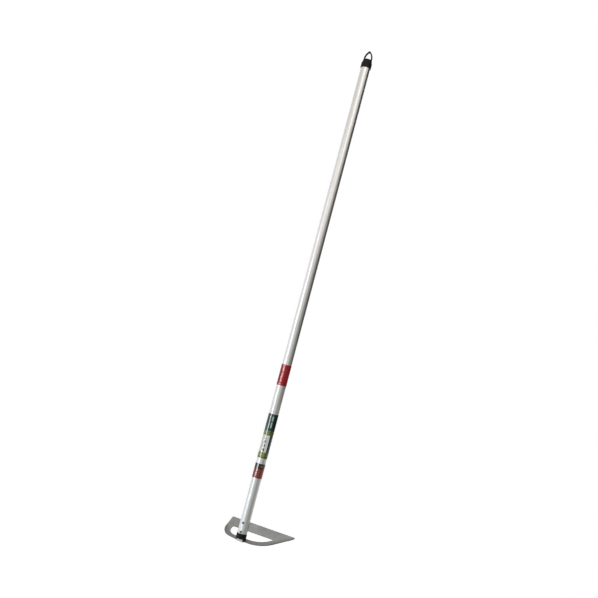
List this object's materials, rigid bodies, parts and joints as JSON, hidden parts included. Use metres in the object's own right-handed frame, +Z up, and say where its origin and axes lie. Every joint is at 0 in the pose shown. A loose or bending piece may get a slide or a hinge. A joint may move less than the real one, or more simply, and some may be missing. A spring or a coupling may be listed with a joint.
{
  "type": "slotted hoe",
  "caption": "Long handled slotted hoe: D-shaped slotted steel blade, tang riveted into a round aluminium pipe, black end cap with pointed hanging loop",
  "frame": {"origin": "top of the eye in the hanging loop, on the pipe's axis", "axes": "+Z up along the pipe, +Y the way the blade reaches to its cutting edge, +X to the blade's pointed end"},
  "size_m": [0.1761, 0.0769, 1.3045],
  "materials": {
    "blade": "ground steel plate, satin",
    "handle_pipe": "drawn and anodised, satin",
    "tang_plug": "moulded, fine texture",
    "rivet_lower": "dark steel, dull",
    "rivet_upper": "dark steel, dull",
    "end_cap": "moulded, fine texture",
    "band_sticker": "glossy printed film",
    "main_sticker": "glossy printed film",
    "lower_sticker": "glossy printed film"
  },
  "bodies": {
    "root": {"blade": "blade", "handle_pipe": "handle_pipe", "tang_plug": "tang_plug", "rivet_lower": "rivet_lower", "rivet_upper": "rivet_upper", "end_cap": "end_cap", "band_sticker": "band_sticker", "main_sticker": "main_sticker", "lower_sticker": "lower_sticker"}
  },
  "joints": []
}
